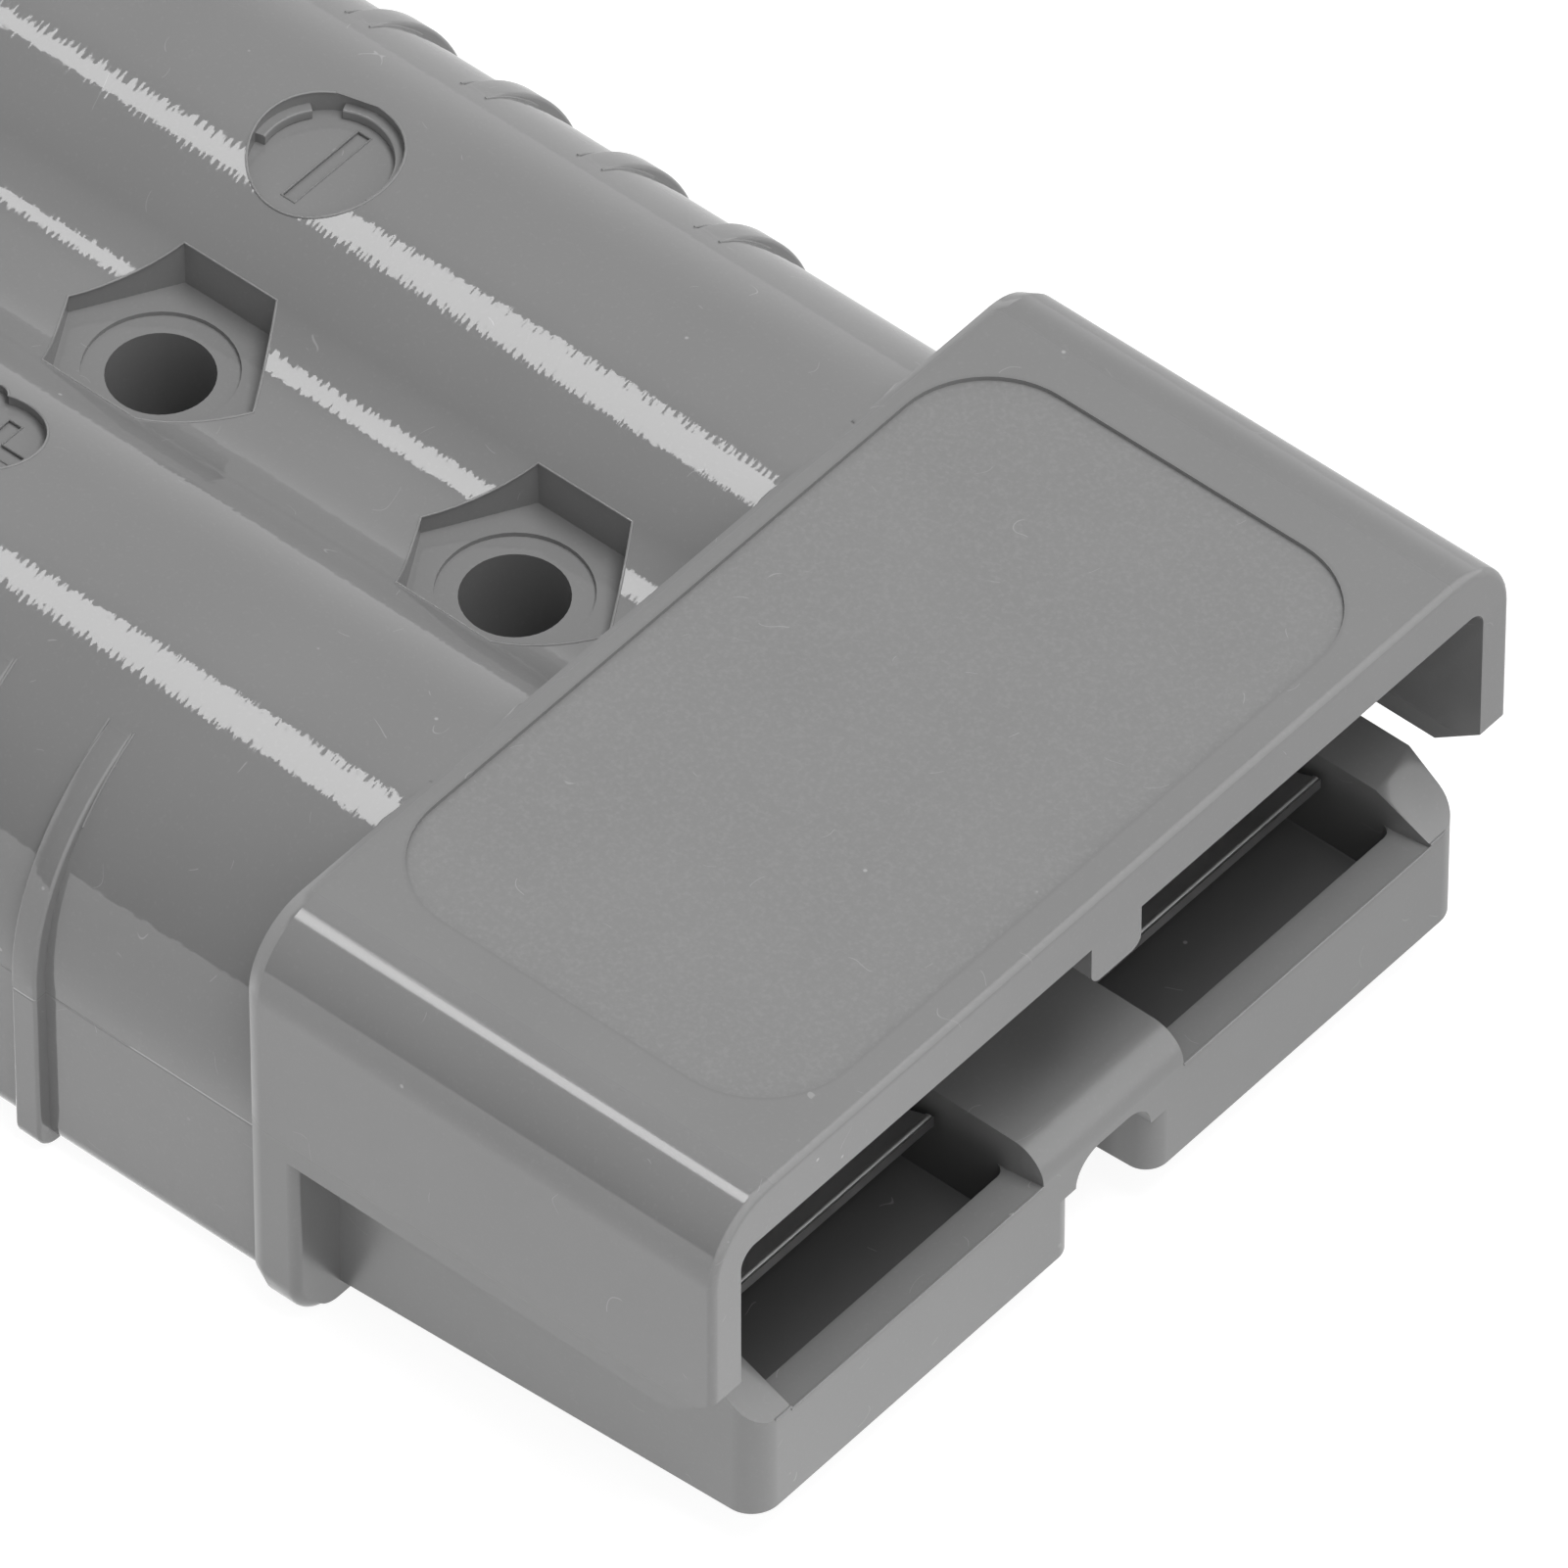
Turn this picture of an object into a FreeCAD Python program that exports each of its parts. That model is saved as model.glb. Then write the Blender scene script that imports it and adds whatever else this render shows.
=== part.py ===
import FreeCAD, Part
import math
import os
import re
import Sketcher

# Two-pole genderless power connector.
# The x axis points along the mating direction, the front of the hood is at x = 0, and z = 0 is
# the mating plane: a second connector turned half a turn about the x axis plugs into this one.

SIZES = {
    # Whole housing
    "overall_length": (79.0, "front of the hood to the cable end"),
    "overall_width": (56.0, "across the hood and collar"),
    "hood_height": (13.7, "mating plane to the top of the hood"),
    "base_depth": (11.1, "mating plane to the flat base"),
    # Hood and collar
    "hood_wall": (1.95, "side wall of the hood"),
    "hood_edge_gap": (0.1, "mating plane to the lower edge of the side walls"),
    "hood_corner_radius": (4.0, "long top corners of the hood"),
    "hood_inner_radius": (1.0, "long inner corners of the hood"),
    "hood_edge_radius": (0.4, "rounding of the hood's front outline"),
    "rear_bevel_length": (0.9, "bevel of the collar's rear outline, along x"),
    "rear_bevel_depth": (0.4, "the same bevel, across"),
    "entry_chamfer_length": (2.65, "chamfer at the front foot of each side wall, along x"),
    "entry_chamfer_height": (2.05, "the same chamfer, along z"),
    "collar_thickness": (2.85, "collar, along x"),
    "foot_edge_radius": (0.5, "rounding of the collar's front outline below the hood"),
    "collar_corner_radius": (2.7, "lower corners of the collar"),
    # Panel on top of the hood
    "panel_front": (1.9, "front of the hood to the panel"),
    "panel_length": (24.6, "panel, along x"),
    "panel_width": (43.0, "panel, across"),
    "panel_radius": (5.0, "corners of the panel"),
    "panel_depth": (0.25, "recess of the panel"),
    # Tongue, which the mating connector's hood covers
    "tongue_length": (25.0, "front of the tongue to the collar"),
    "tongue_tip_depth": (8.4, "mating plane to the underside, at the tip"),
    "tongue_root_depth": (10.1, "mating plane to the underside, at the collar"),
    "tongue_corner_radius": (1.5, "upright front corners of the tongue"),
    "side_clearance": (1.05, "hood side wall to the mating tongue"),
    "roof_clearance": (0.55, "hood roof to the mating tongue's underside"),
    "end_clearance": (0.5, "back of the hood's cavity to the mating tongue's tip"),
    # Contact cells
    "cell_wall": (2.4, "outer wall of a cell"),
    "cell_depth": (6.6, "mating plane to the cell floor"),
    "cell_corner_radius": (0.6, "upright corners of a cell"),
    "divider_width": (9.9, "shelf between the cells"),
    "shelf_drop": (0.8, "mating plane to the top of the shelf"),
    "shelf_roll": (1.8, "rounded front edge of the shelf"),
    "lip_thickness": (2.25, "front lip of a cell"),
    "lip_drop": (2.65, "mating plane to the lip's outer edge"),
    "lip_slope": (0.4, "fall of the lip towards the cell"),
    "wall_slope": (1.05, "fall of the outer wall's top towards the cell"),
    "ramp_length": (3.3, "lead-in ramp at the front of the outer walls"),
    "ramp_drop": (2.45, "fall of that ramp"),
    "window_height": (3.4, "mating plane to the top of the contact window"),
    "neck_length": (6.0, "contact window, from the hood's cavity to the cable bore"),
    # Key rib under the hood and the groove that takes the mating one
    "groove_width": (5.3, "groove under the shelf"),
    "groove_ceiling": (3.0, "mating plane to the ceiling of the groove"),
    "groove_corner_radius": (1.7, "long upper corners of the groove"),
    "groove_mouth_radius": (1.2, "upright front corners of the groove"),
    "key_clearance": (0.9, "groove wall to the mating key rib"),
    "key_reach": (2.45, "key rib, from the hood's roof at its mouth down"),
    "key_length": (20.0, "key rib, along x"),
    "key_corner_radius": (0.7, "lower corners of the key rib"),
    # Cable barrels
    "barrel_radius": (13.5, "outside of a barrel"),
    "barrel_spacing": (26.6, "between the barrels' axes"),
    "valley_radius": (8.4, "hollow between the barrels"),
    "base_corner_radius": (1.7, "long lower corners of the barrels"),
    "rear_edge_radius": (0.8, "edge of the cable end"),
    "bore_radius": (9.0, "cable bore"),
    "bore_rise": (1.0, "mating plane to the bore's axis"),
    "bore_chamfer": (0.8, "mouth of the cable bore"),
    # Fixing screws and their nut pockets
    "screw_set_back": (8.1, "collar to the first screw hole"),
    "screw_spacing": (21.65, "between the screw holes"),
    "screw_hole_radius": (2.62, "screw hole"),
    "nut_width": (9.9, "across the flats of a nut pocket"),
    "nut_floor": (7.95, "mating plane to the floor of a nut pocket"),
    "nut_seat_radius": (3.75, "flat seat round the screw hole"),
    "nut_seat_sink": (0.25, "seat below the pocket's floor"),
    # Grip ribs
    "rib_count": (5, "ribs on each side"),
    "rib_set_back": (14.0, "collar to the middle of the first rib"),
    "rib_end_gap": (8.55, "middle of the last rib to the cable end"),
    "rib_width": (1.5, "rib, along x"),
    "rib_proud": (0.75, "rib beyond the side of the barrel"),
    "rib_arc_radius": (12.8, "outline of a rib"),
    "rib_foot_radius": (1.3, "lower corner of a rib"),
    # Polarity marks
    "minus_recess_radius": (3.7, "recess of the minus mark"),
    "plus_recess_radius": (2.7, "recess of the plus mark"),
    "mark_offset": (11.7, "middle plane to the middle of a recess"),
    "mark_floor": (12.25, "mating plane to the floor of a recess"),
    "mark_length": (5.4, "stroke of the minus mark"),
    "plus_length": (3.6, "strokes of the plus mark"),
    "mark_width": (0.8, "stroke's width"),
    "mark_sink": (0.15, "stroke below the floor"),
    "mark_notch_radius": (0.8, "round notch in the rim of a recess"),
    "mark_notch_turn": (130.0, "degrees from the x axis to that notch"),
    # Leaf springs
    "leaf_thickness": (0.6, "spring steel"),
    "leaf_gap": (0.4, "leaf to the wall of its cell"),
    "leaf_tip_back": (6.2, "front of the tongue to the leaf's free edge"),
    "leaf_tip_drop": (2.0, "mating plane to the top of the free edge"),
    "leaf_rise_start": (22.0, "front of the tongue to the foot of the rise"),
    "leaf_hook_back": (28.5, "front of the tongue to the hook"),
    "leaf_bow_radius": (60.0, "upper side of the rise, seen from the side"),
    "leaf_hook_depth": (1.4, "hook below the cell floor"),
    "leaf_slot_clearance": (0.15, "hook to the walls of its slot"),
}

# Places worked out from the sizes
HALF_WIDTH = "overall_width / 2"
COLLAR_REAR = "tongue_length + collar_thickness"
TONGUE_HALF = "overall_width / 2 - hood_wall - side_clearance"
HOOD_INNER_HALF = "overall_width / 2 - hood_wall"
CELL_INNER = "divider_width / 2"
CELL_OUTER = "overall_width / 2 - hood_wall - side_clearance - cell_wall"
CAVITY_BACK = "tongue_length + end_clearance"
ROOF_AT_MOUTH = "tongue_root_depth + roof_clearance"
ROOF_AT_BACK = "tongue_tip_depth + roof_clearance"
NECK_END = "tongue_length + end_clearance + neck_length"
BARREL_AXIS = "barrel_spacing / 2"
BARREL_SIDE = "barrel_spacing / 2 + barrel_radius"
FIRST_SCREW = "tongue_length + collar_thickness + screw_set_back"
FIRST_RIB = "tongue_length + collar_thickness + rib_set_back"
OVERSHOOT = 1.0


def formula(text):
    """The text with each size's name written as a reference to its cell."""
    def reference(word):
        return "Sizes." + word.group() if word.group() in SIZES else word.group()
    return re.sub(r"[a-z]\w*", reference, text)


def size(text):
    """The number that a formula gives now."""
    return float(sheet.evalExpression(formula(text)))


def make_sheet(document):
    table = document.addObject("Spreadsheet::Sheet", "Sizes")
    for row, (name, (number, note)) in enumerate(SIZES.items(), start=1):
        table.set(f"A{row}", name.replace("_", " "))
        table.set(f"B{row}", str(number))
        table.set(f"C{row}", note)
        table.setAlias(f"B{row}", name)
    document.recompute()
    return table


def new_body(label):
    body = doc.addObject("PartDesign::Body", label)
    body.Label = label
    return body


def new_sketch(body, role, name, height="0"):
    """A sketch on one of the body's own planes, moved along that plane's normal."""
    sketch = body.newObject("Sketcher::SketchObject", name)
    plane = next(item for item in body.Origin.OriginFeatures if item.Role == role)
    sketch.AttachmentSupport = [(plane, "")]
    sketch.MapMode = "FlatFace"
    sketch.setExpression("AttachmentOffset.Base.z", formula(height))
    return sketch


def arc_centre(start, end, radius, turn):
    """Centre of the shorter arc between two points, counterclockwise when turn is positive."""
    middle = ((start[0] + end[0]) / 2, (start[1] + end[1]) / 2)
    across = (end[0] - start[0], end[1] - start[1])
    chord = math.hypot(*across)
    rise = math.sqrt(max(radius ** 2 - chord ** 2 / 4, 0)) * turn / chord
    return (middle[0] - across[1] * rise, middle[1] + across[0] * rise)


def outline(sketch, points, arcs=None):
    """A closed outline. arcs maps the number of a side to its radius and its turn."""
    arcs = arcs or {}
    count = len(points)
    places = [(size(across), size(up)) for across, up in points]
    starts = []
    ends = []
    for number in range(count):
        start = places[number]
        end = places[(number + 1) % count]
        if number in arcs:
            radius = size(arcs[number][0])
            turn = arcs[number][1]
            centre = arc_centre(start, end, radius, turn)
            first, last = (start, end) if turn > 0 else (end, start)
            circle = Part.Circle(FreeCAD.Vector(*centre, 0), FreeCAD.Vector(0, 0, 1), radius)
            angles = [math.atan2(point[1] - centre[1], point[0] - centre[0]) for point in (first, last)]
            side = sketch.addGeometry(Part.ArcOfCircle(circle, *angles), False)
            starts.append((side, 1 if turn > 0 else 2))
            ends.append((side, 2 if turn > 0 else 1))
        else:
            line = Part.LineSegment(FreeCAD.Vector(*start, 0), FreeCAD.Vector(*end, 0))
            side = sketch.addGeometry(line, False)
            starts.append((side, 1))
            ends.append((side, 2))
    for number in range(count):
        sketch.addConstraint(Sketcher.Constraint("Coincident", *ends[number - 1], *starts[number]))
    for number, (across, up) in enumerate(points):
        spot = places[number]
        for kind, text, place in (("DistanceX", across, spot[0]), ("DistanceY", up, spot[1])):
            index = sketch.addConstraint(Sketcher.Constraint(kind, -1, 1, *starts[number], place))
            sketch.setExpression(f"Constraints[{index}]", formula(text))
    for number, (radius, _) in arcs.items():
        index = sketch.addConstraint(Sketcher.Constraint("Radius", starts[number][0], size(radius)))
        sketch.setExpression(f"Constraints[{index}]", formula(radius))


def box_outline(sketch, low, high):
    """A rectangle between two corners."""
    outline(sketch, [(low[0], low[1]), (high[0], low[1]), (high[0], high[1]), (low[0], high[1])])


def circle(sketch, across, up, radius):
    place = FreeCAD.Vector(size(across), size(up), 0)
    side = sketch.addGeometry(Part.Circle(place, FreeCAD.Vector(0, 0, 1), size(radius)), False)
    for kind, text, number in (("DistanceX", across, place.x), ("DistanceY", up, place.y)):
        index = sketch.addConstraint(Sketcher.Constraint(kind, -1, 1, side, 3, number))
        sketch.setExpression(f"Constraints[{index}]", formula(text))
    index = sketch.addConstraint(Sketcher.Constraint("Radius", side, size(radius)))
    sketch.setExpression(f"Constraints[{index}]", formula(radius))


def volume(body):
    """Volume of the body so far, which is nothing before its first feature."""
    return body.Tip.Shape.Volume if body.Tip and not body.Tip.Shape.isNull() else 0.0


def extrude(body, kind, sketch, name, length, both_ways=False, backwards=False):
    """A pad or a pocket of the sketch. A length of None cuts all the way."""
    before = volume(body)
    feature = body.newObject("PartDesign::" + kind, name)
    feature.Profile = sketch
    if length is None:
        feature.Type = "ThroughAll"
    else:
        feature.setExpression("Length", formula(length))
    if both_ways:
        feature.SideType = "Symmetric"
    feature.Reversed = backwards
    sketch.Visibility = False
    doc.recompute()
    gained = volume(body) - before
    if (gained > 0) != (kind == "Pad"):
        raise RuntimeError(f"{name} changes the volume by {gained:.3f}: {feature.getStatusString()}")
    return feature


def edges_inside(body, along, across, up, upright=False):
    """Names of the tip's edges that lie inside a box, or inside its mirror image across y = 0."""
    names = []
    for number, edge in enumerate(body.Tip.Shape.Edges, start=1):
        box = edge.BoundBox
        if upright and box.XLength + box.YLength > 0.01:
            continue
        sides = ((box.YMin, box.YMax), (-box.YMax, -box.YMin))
        inside_y = any(across[0] <= low and high <= across[1] for low, high in sides)
        inside_x = along[0] <= box.XMin and box.XMax <= along[1]
        if inside_x and inside_y and up[0] <= box.ZMin and box.ZMax <= up[1]:
            names.append(f"Edge{number}")
    return names


def dress(body, kind, name, radius, *boxes, upright=False, second=None):
    """A fillet or chamfer on every edge, or every upright edge, inside any of the boxes."""
    names = [edge for box in boxes for edge in edges_inside(body, *box, upright)]
    if not names:
        raise RuntimeError(f"{name} finds no edge")
    base = body.Tip
    feature = body.newObject("PartDesign::" + kind, name)
    feature.Base = (base, sorted(set(names)))
    feature.setExpression("Radius" if kind == "Fillet" else "Size", formula(radius))
    if second:
        feature.ChamferType = "Two distances"
        feature.setExpression("Size2", formula(second))
    doc.recompute()
    if feature.Shape.isNull() or not feature.Shape.isValid():
        raise RuntimeError(f"{name} fails: {feature.getStatusString()}")
    return feature


def between(low, high, slack=0.1):
    return (low - slack, high + slack)


def near(number):
    return between(number, number, 0.02)


def mirrored_pair(points):
    """The outline on the other side of the middle plane, walked the same way round."""
    return [(f"-({across})", up) for across, up in reversed(points)]


def shoulders():
    """The hood's upper outline seen along x, from the left side over the top to the right side."""
    half = HALF_WIDTH
    corner = "hood_corner_radius"
    left = [(half, f"hood_height - {corner}"), (f"{half} - {corner}", "hood_height")]
    return left + mirrored_pair(left)


def add_collar(body):
    """The upright frame between the hood and the barrels."""
    half = HALF_WIDTH
    corner = "collar_corner_radius"
    foot = [(f"{half} - {corner}", "-base_depth"), (half, f"{corner} - base_depth")]
    rounding = ("hood_corner_radius", 1)
    low_rounding = (corner, 1)
    sketch = new_sketch(body, "YZ_Plane", "collar_section", f"-({COLLAR_REAR})")
    outline(sketch, shoulders() + mirrored_pair(foot) + foot,
            {0: rounding, 2: rounding, 4: low_rounding, 6: low_rounding})
    extrude(body, "Pad", sketch, "collar", "collar_thickness")
    side = size(half)
    heights = between(-size("base_depth"), size("hood_height"))
    dress(body, "Chamfer", "rear_bevel", "rear_bevel_length",
          (near(-size(COLLAR_REAR)), between(-side, side), heights), second="rear_bevel_depth")
    dress(body, "Fillet", "foot_edge", "foot_edge_radius",
          (near(-size("tongue_length")), between(-side, side), heights))


def add_barrels(body):
    """Two round-topped barrels with a hollow between them, on a flat base."""
    sketch = new_sketch(body, "YZ_Plane", "barrel_section", "-overall_length")
    share = "barrel_radius / (barrel_radius + valley_radius)"
    rise = f"sqrt((barrel_radius + valley_radius)^2 - ({BARREL_AXIS})^2)"
    meet_across = f"({BARREL_AXIS}) * (1 - {share})"
    meet_up = f"{rise} * {share}"
    crown = (BARREL_AXIS, "barrel_radius")
    left = [
        (f"{BARREL_SIDE} - base_corner_radius", "-base_depth"),
        (BARREL_SIDE, "base_corner_radius - base_depth"),
        (BARREL_SIDE, "0"),
        crown,
        (meet_across, meet_up),
    ]
    arcs = {
        0: ("base_corner_radius", 1),
        2: ("barrel_radius", 1),
        3: ("barrel_radius", 1),
        4: ("valley_radius", -1),
        5: ("barrel_radius", 1),
        6: ("barrel_radius", 1),
        8: ("base_corner_radius", 1),
    }
    outline(sketch, left + mirrored_pair(left), arcs)
    extrude(body, "Pad", sketch, "barrels", "overall_length - tongue_length")
    side = size(BARREL_SIDE)
    rear = -size("overall_length")
    dress(body, "Fillet", "rear_edge", "rear_edge_radius",
          (near(rear), between(-side, side), between(-size("base_depth"), size("barrel_radius"))))


def add_ribs(body):
    """Grip ribs whose round outline rises out of the barrel's flank and runs down its side."""
    middle = f"{BARREL_SIDE} + rib_proud - rib_arc_radius"
    outer = f"{BARREL_SIDE} + rib_proud"
    points = [
        (f"{outer} - rib_foot_radius", "-base_depth"),
        (outer, "rib_foot_radius - base_depth"),
        (outer, "0"),
        (middle, "rib_arc_radius"),
        (middle, "-base_depth"),
    ]
    for side in (1, -1):
        name = "left" if side > 0 else "right"
        sketch = new_sketch(body, "YZ_Plane", name + "_rib_section", f"-({FIRST_RIB}) - rib_width / 2")
        if side > 0:
            outline(sketch, points, {0: ("rib_foot_radius", 1), 2: ("rib_arc_radius", 1)})
        else:
            outline(sketch, mirrored_pair(points), {1: ("rib_arc_radius", 1), 3: ("rib_foot_radius", 1)})
        rib = extrude(body, "Pad", sketch, name + "_rib", "rib_width")
        pattern = body.newObject("PartDesign::LinearPattern", name + "_ribs")
        pattern.Originals = [rib]
        axis = next(item for item in body.Origin.OriginFeatures if item.Role == "X_Axis")
        pattern.Direction = (axis, [""])
        pattern.Reversed = True
        pattern.setExpression("Length", formula(f"overall_length - ({FIRST_RIB}) - rib_end_gap"))
        pattern.setExpression("Occurrences", formula("rib_count"))
        body.Tip = pattern
        doc.recompute()


def add_hood(body):
    """The hood that juts forward from the collar, and the tongue under it."""
    sketch = new_sketch(body, "YZ_Plane", "hood_section", "-tongue_length - foot_edge_radius")
    feet = [(f"-({HALF_WIDTH})", "hood_edge_gap"), (HALF_WIDTH, "hood_edge_gap")]
    outline(sketch, shoulders() + feet, {0: ("hood_corner_radius", 1), 2: ("hood_corner_radius", 1)})
    extrude(body, "Pad", sketch, "hood", "tongue_length + foot_edge_radius")

    sketch = new_sketch(body, "XZ_Plane", "tongue_section")
    outline(sketch, [
        ("-tongue_length", "-tongue_root_depth"),
        ("0", "-tongue_tip_depth"),
        ("0", "0"),
        ("-tongue_length", "0"),
    ])
    extrude(body, "Pad", sketch, "tongue", f"2 * ({TONGUE_HALF})", both_ways=True)

    side = size(HALF_WIDTH)
    top = size("hood_height")
    corner = size("hood_corner_radius")
    dress(body, "Fillet", "tongue_corners", "tongue_corner_radius",
          (near(0), near(size(TONGUE_HALF)), between(-size("tongue_tip_depth"), 0)))
    dress(body, "Fillet", "hood_edge", "hood_edge_radius",
          (near(0), between(-side, side), near(top)),
          (near(0), between(side - corner, side), between(top - corner, top)),
          (near(0), near(side), between(0, top)))


def cut_hood_cavity(body):
    """The tapered space that takes the mating tongue, with the chamfered feet of its side walls."""
    sketch = new_sketch(body, "XZ_Plane", "cavity_section")
    slope = f"(({ROOF_AT_MOUTH}) - ({ROOF_AT_BACK})) / ({CAVITY_BACK})"
    outline(sketch, [
        (f"-({CAVITY_BACK})", "0"),
        (str(OVERSHOOT), "0"),
        (str(OVERSHOOT), f"({ROOF_AT_MOUTH}) + {slope} * {OVERSHOOT}"),
        (f"-({CAVITY_BACK})", ROOF_AT_BACK),
    ])
    extrude(body, "Pocket", sketch, "cavity", f"2 * ({HOOD_INNER_HALF})", both_ways=True)
    inner = size(HOOD_INNER_HALF)
    dress(body, "Fillet", "cavity_corners", "hood_inner_radius",
          (between(-size(CAVITY_BACK), 0), near(inner), between(size(ROOF_AT_BACK), size(ROOF_AT_MOUTH))))

    sketch = new_sketch(body, "XZ_Plane", "entry_section")
    run = f"entry_chamfer_height / entry_chamfer_length * {OVERSHOOT}"
    outline(sketch, [
        ("-entry_chamfer_length", "hood_edge_gap"),
        (str(OVERSHOOT), "hood_edge_gap"),
        (str(OVERSHOOT), f"hood_edge_gap + entry_chamfer_height + {run}"),
    ])
    extrude(body, "Pocket", sketch, "entry_chamfers", None, both_ways=True)


def add_key(body):
    """The key rib under the hood's roof."""
    width = "groove_width - 2 * key_clearance"
    sketch = new_sketch(body, "XZ_Plane", "key_section")
    box_outline(sketch, ("-key_length", f"{ROOF_AT_MOUTH} - key_reach"),
                ("0", f"{ROOF_AT_MOUTH} + {OVERSHOOT}"))
    extrude(body, "Pad", sketch, "key", width, both_ways=True)
    foot = size(f"{ROOF_AT_MOUTH} - key_reach")
    dress(body, "Fillet", "key_corners", "key_corner_radius",
          (between(-size("key_length"), 0), near(size(width) / 2), near(foot)))


def cut_cells(body):
    """The two contact cells, their front lips, the shelf between them and the contact windows."""
    inner = CELL_INNER
    outer = CELL_OUTER
    lip = "lip_drop + lip_slope"

    sketch = new_sketch(body, "XY_Plane", "cell_plan")
    for sign in ("", "-"):
        box_outline(sketch, (f"-({CAVITY_BACK})", f"{sign}({inner})"), ("-lip_thickness", f"{sign}({outer})"))
    extrude(body, "Pocket", sketch, "cells", "cell_depth")
    dress(body, "Fillet", "cell_corners", "cell_corner_radius",
          (near(-size("lip_thickness")), between(size(inner), size(outer)), between(-size("cell_depth"), 0)),
          upright=True)

    sketch = new_sketch(body, "YZ_Plane", "window_section", f"-({NECK_END})")
    for sign in ("", "-"):
        box_outline(sketch, (f"{sign}({inner})", "-cell_depth"), (f"{sign}({outer})", "window_height"))
    extrude(body, "Pocket", sketch, "windows", "neck_length", backwards=True)

    for sign, name in ((1, "left"), (-1, "right")):
        middle = f"(({inner}) + ({outer})) / 2"
        sketch = new_sketch(body, "XZ_Plane", name + "_lip_section", f"-({sign}) * {middle}")
        outline(sketch, [
            (f"-lip_thickness - {OVERSHOOT}", f"-({lip})"),
            ("-lip_thickness", f"-({lip})"),
            ("0", "-lip_drop"),
            (str(OVERSHOOT), "-lip_drop"),
            (str(OVERSHOOT), "0"),
            (f"-lip_thickness - {OVERSHOOT}", "0"),
        ])
        extrude(body, "Pocket", sketch, name + "_lip", f"({outer}) - ({inner})", both_ways=True)

    sketch = new_sketch(body, "XZ_Plane", "shelf_section")
    box_outline(sketch, (f"-({CAVITY_BACK})", "-shelf_drop"), (str(OVERSHOOT), "0"))
    extrude(body, "Pocket", sketch, "shelf", "divider_width", both_ways=True)
    dress(body, "Fillet", "shelf_edge", "shelf_roll",
          (near(0), between(-size(inner), size(inner)), near(-size("shelf_drop"))))


def cut_ramps(body):
    """The outer walls' tops slope towards the cells, and fall as ramps at the front."""
    inner = f"{CELL_OUTER}"
    outer = f"{TONGUE_HALF} + {OVERSHOOT}"
    rise = f"wall_slope / cell_wall * {OVERSHOOT}"
    level = str(OVERSHOOT)
    for side in (1, -1):
        name = "left" if side > 0 else "right"
        wall = [(inner, "-wall_slope"), (outer, rise), (outer, level), (inner, level)]
        front = [(inner, "-ramp_drop"), (outer, "-ramp_drop"), (outer, level), (inner, level)]
        if side < 0:
            wall = mirrored_pair(wall)
            front = mirrored_pair(front)
        sketch = new_sketch(body, "YZ_Plane", name + "_wall_section", "-ramp_length")
        outline(sketch, wall)
        extrude(body, "Pocket", sketch, name + "_wall_top", f"{CAVITY_BACK} - ramp_length")
        first = new_sketch(body, "YZ_Plane", name + "_ramp_start", "-ramp_length")
        outline(first, wall)
        last = new_sketch(body, "YZ_Plane", name + "_ramp_end", "0")
        outline(last, front)
        ramp = body.newObject("PartDesign::SubtractiveLoft", name + "_ramp")
        ramp.Profile = first
        ramp.Sections = [last]
        ramp.Ruled = True
        body.Tip = ramp
        doc.recompute()


def cut_groove(body):
    """The groove under the shelf, open below and in front, for the mating key rib."""
    half = "groove_width / 2"
    foot = f"-base_depth - {OVERSHOOT}"
    shoulder = "-groove_ceiling - groove_corner_radius"
    sketch = new_sketch(body, "YZ_Plane", "groove_section", "-tongue_length")
    outline(sketch, [
        (f"-{half}", foot),
        (half, foot),
        (half, shoulder),
        (f"{half} - groove_corner_radius", "-groove_ceiling"),
        (f"-{half} + groove_corner_radius", "-groove_ceiling"),
        (f"-{half}", shoulder),
    ], {2: ("groove_corner_radius", 1), 4: ("groove_corner_radius", 1)})
    extrude(body, "Pocket", sketch, "groove", f"tongue_length + {OVERSHOOT}", backwards=True)

    flare = f"{half} + groove_mouth_radius"
    left = [
        ("-groove_mouth_radius", "0"),
        (str(OVERSHOOT), "0"),
        (str(OVERSHOOT), flare),
        ("0", flare),
        ("-groove_mouth_radius", half),
    ]
    for side, name in ((1, "left"), (-1, "right")):
        sketch = new_sketch(body, "XY_Plane", name + "_mouth_plan", shoulder)
        if side > 0:
            outline(sketch, left, {3: ("groove_mouth_radius", -1)})
        else:
            right = [(along, f"-({across})") for along, across in reversed(left)]
            outline(sketch, right, {0: ("groove_mouth_radius", -1)})
        extrude(body, "Pocket", sketch, name + "_mouth", None)


def cut_bores(body):
    """A cable bore along each barrel, from the cable end to the contact window."""
    sketch = new_sketch(body, "YZ_Plane", "bore_section", "-overall_length")
    for sign in ("", "-"):
        circle(sketch, f"{sign}({BARREL_AXIS})", "bore_rise", "bore_radius")
    extrude(body, "Pocket", sketch, "bores", f"overall_length - ({NECK_END})", backwards=True)
    rear = -size("overall_length")
    centre = size(BARREL_AXIS)
    reach = size("bore_radius")
    rise = size("bore_rise")
    dress(body, "Chamfer", "bore_mouths", "bore_chamfer",
          (near(rear), between(centre - reach, centre + reach), between(rise - reach, rise + reach)))


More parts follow.
